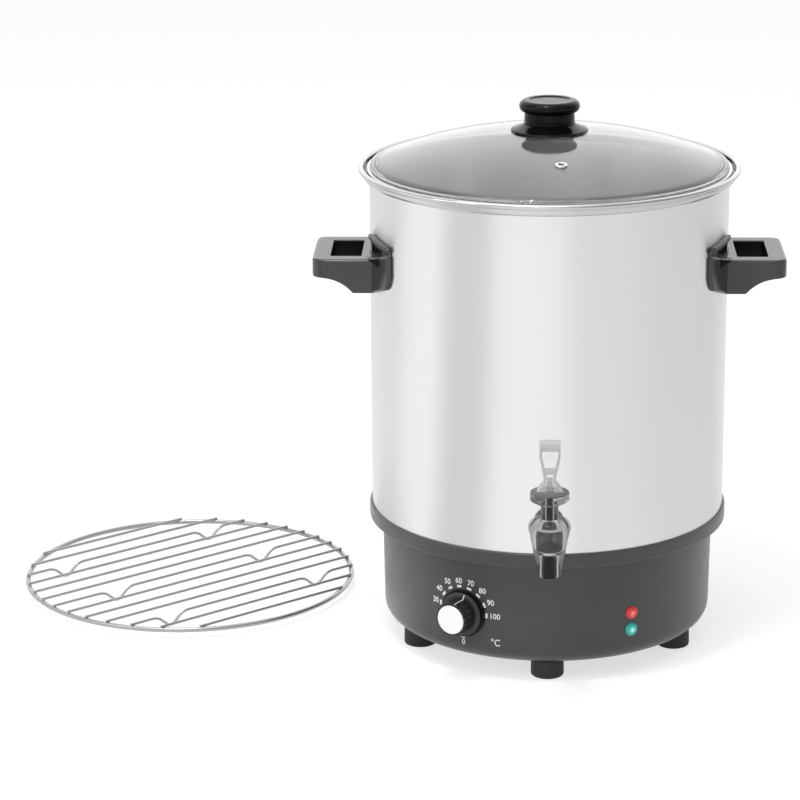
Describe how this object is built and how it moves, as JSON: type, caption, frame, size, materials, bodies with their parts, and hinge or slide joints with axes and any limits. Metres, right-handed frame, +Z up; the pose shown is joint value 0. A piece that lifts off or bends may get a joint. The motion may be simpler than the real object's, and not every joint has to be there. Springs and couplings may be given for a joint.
{
  "type": "mulled wine kettle",
  "caption": "Upright steel hot-drink kettle on a heated black base with thermostat dial, pilot lamps, lever tap, side handles, domed glass lid and a wire insert rack lying beside it.",
  "frame": {"origin": "on the pot's axis at table level, in the middle of the footprint of the feet", "axes": "+Z up along the pot's axis; the tap faces -Y; the handles point along +X and -X; the insert rack lies on the -X side"},
  "size_m": [0.778, 0.542, 0.5416],
  "materials": {
    "pot_steel": "satin",
    "bright_steel": "polished",
    "element_steel": "satin",
    "alloy": "satin",
    "sensor_brass": "satin",
    "base_plastic": "satin",
    "handle_plastic": "satin",
    "knob_plastic": "gloss",
    "smoky_plastic": "gloss",
    "pale_plastic": "gloss",
    "white_plastic": "matte",
    "foot_rubber": "matte",
    "black_rubber": "matte",
    "wire_rubber": "matte",
    "silicone": "matte",
    "red_lens": "gloss",
    "green_lens": "gloss",
    "cap_metal": "satin",
    "lid_glass": "polished",
    "rack_wire": "polished"
  },
  "bodies": {
    "kettle": {"pot": "pot_steel", "base_housing": "base_plastic", "bottom_cover": "base_plastic", "cover_screws": "bright_steel", "foot_front": "foot_rubber", "foot_left": "foot_rubber", "foot_right": "foot_rubber", "foot_rear_left": "foot_rubber", "foot_rear_right": "foot_rubber", "foot_screws": "bright_steel", "heat_plate": "alloy", "heating_element": "element_steel", "clamp_bar": "element_steel", "floor_studs": "bright_steel", "stud_nuts": "bright_steel", "thermal_cutout": "alloy", "thermostat_body": "alloy", "thermostat_sensor": "sensor_brass", "terminal_block": "white_plastic", "wiring": "wire_rubber", "cord_gland": "black_rubber", "dial_ring": "knob_plastic", "lamp_red": "red_lens", "lamp_green": "green_lens", "red_holder": "white_plastic", "green_holder": "white_plastic", "handle_left": "handle_plastic", "handle_right": "handle_plastic", "handle_studs": "bright_steel", "handle_nuts": "bright_steel", "tap_body": "smoky_plastic", "tap_bonnet": "smoky_plastic", "tap_gasket_outer": "black_rubber", "tap_gasket_inner": "black_rubber", "tap_nut": "pale_plastic"},
    "control_knob": {"knob_body": "knob_plastic", "knob_cap": "cap_metal", "thermostat_spindle": "element_steel"},
    "tap_stem": {"tap_stem": "pale_plastic", "seat_cup": "silicone"},
    "tap_lever": {"tap_lever": "pale_plastic", "lever_pin": "bright_steel"},
    "lid": {"lid_glass": "lid_glass", "lid_band": "bright_steel", "lid_knob": "knob_plastic", "lid_knob_base": "knob_plastic", "lid_knob_screw": "bright_steel", "lid_knob_washer": "black_rubber", "vent_eyelet": "bright_steel"},
    "rack": {"rack_ring": "rack_wire", "rack_wires": "rack_wire", "foot_wire_near": "rack_wire", "foot_wire_middle": "rack_wire", "foot_wire_far": "rack_wire"}
  },
  "joints": [
    {"name": "knob_turn", "type": "hinge", "parent": "kettle", "child": "control_knob", "pos_m": [-0.085, -0.14722, 0.065], "axis": [-0.5, -0.866, 0], "range_deg": [-77, 193]},
    {"name": "stem_lift", "type": "slide", "parent": "kettle", "child": "tap_stem", "axis": [0, 0, 1], "range_m": [0, 0.004]},
    {"name": "lever_tilt", "type": "hinge", "parent": "tap_stem", "child": "tap_lever", "pos_m": [0, -0.225, 0.222], "axis": [1, 0, 0], "range_deg": [0, 45], "stiffness_Nm_per_rad": 0.08, "springref_deg": -11.46},
    {"name": "lid_lift", "type": "slide", "parent": "kettle", "child": "lid", "axis": [0, 0, 1], "range_m": [0, 0.15]},
    {"name": "rack_lift", "type": "slide", "parent": "kettle", "child": "rack", "axis": [0, 0, 1], "range_m": [0, 0.2]}
  ],
  "couplings": [
    {"joint": "stem_lift", "follows": "lever_tilt", "m_per_rad": 0.005}
  ]
}
